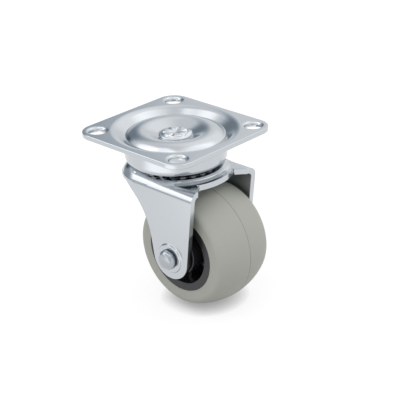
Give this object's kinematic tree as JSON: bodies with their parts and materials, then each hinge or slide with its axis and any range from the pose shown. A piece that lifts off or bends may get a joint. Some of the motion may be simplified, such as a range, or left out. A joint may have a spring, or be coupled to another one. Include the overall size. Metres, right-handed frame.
{
  "type": "swivel plate castor",
  "caption": "Plate-mounted swivel furniture castor with a pressed zinc-plated fork, twin ball rows and a wheel with a soft grey tread.",
  "frame": {"origin": "centre of the plate's top face, where the swivel axis meets it", "axes": "+Z along the swivel axis, out of the plate's mounting face; +X towards the side where the wheel trails at rest; +Y along the axle"},
  "size_m": [0.0671, 0.057, 0.0715],
  "materials": {
    "zinc_sheet": "satin zinc plating",
    "bright_pin": "bright zinc plating",
    "ball_steel": "polished hardened steel",
    "grey_tread": "smooth matt thermoplastic rubber",
    "black_plastic": "moulded, lightly glossy"
  },
  "bodies": {
    "plate": {"top_plate": "zinc_sheet", "king_pin": "bright_pin", "lower_race": "zinc_sheet"},
    "fork": {"fork": "zinc_sheet", "axle_pin": "bright_pin"},
    "wheel": {"wheel_centre": "black_plastic", "tread": "grey_tread"},
    "upper_ball_row": {"upper_ball_01": "ball_steel", "upper_ball_02": "ball_steel", "upper_ball_03": "ball_steel", "upper_ball_04": "ball_steel", "upper_ball_05": "ball_steel", "upper_ball_06": "ball_steel", "upper_ball_07": "ball_steel", "upper_ball_08": "ball_steel", "upper_ball_09": "ball_steel", "upper_ball_10": "ball_steel", "upper_ball_11": "ball_steel", "upper_ball_12": "ball_steel", "upper_ball_13": "ball_steel", "upper_ball_14": "ball_steel", "upper_ball_15": "ball_steel", "upper_ball_16": "ball_steel", "upper_ball_17": "ball_steel", "upper_ball_18": "ball_steel", "upper_ball_19": "ball_steel", "upper_ball_20": "ball_steel", "upper_ball_21": "ball_steel", "upper_ball_22": "ball_steel", "upper_ball_23": "ball_steel", "upper_ball_24": "ball_steel"},
    "lower_ball_row": {"lower_ball_01": "ball_steel", "lower_ball_02": "ball_steel", "lower_ball_03": "ball_steel", "lower_ball_04": "ball_steel", "lower_ball_05": "ball_steel", "lower_ball_06": "ball_steel", "lower_ball_07": "ball_steel", "lower_ball_08": "ball_steel", "lower_ball_09": "ball_steel", "lower_ball_10": "ball_steel", "lower_ball_11": "ball_steel", "lower_ball_12": "ball_steel", "lower_ball_13": "ball_steel", "lower_ball_14": "ball_steel", "lower_ball_15": "ball_steel"}
  },
  "joints": [
    {"name": "swivel", "type": "hinge", "parent": "plate", "child": "fork", "pos_m": [0, 0, -0.01435], "axis": [0, 0, 1], "continuous": true},
    {"name": "wheel_spin", "type": "hinge", "parent": "fork", "child": "wheel", "pos_m": [0.0136, 0, -0.0465], "axis": [0, 1, 0], "continuous": true},
    {"name": "upper_balls_roll", "type": "hinge", "parent": "plate", "child": "upper_ball_row", "pos_m": [0, 0, -0.01435], "axis": [0, 0, 1], "continuous": true},
    {"name": "lower_balls_roll", "type": "hinge", "parent": "plate", "child": "lower_ball_row", "pos_m": [0, 0, -0.0125], "axis": [0, 0, 1], "continuous": true}
  ],
  "couplings": [
    {"joint": "upper_balls_roll", "follows": "swivel", "ratio": 0.5},
    {"joint": "lower_balls_roll", "follows": "swivel", "ratio": 0.5}
  ]
}
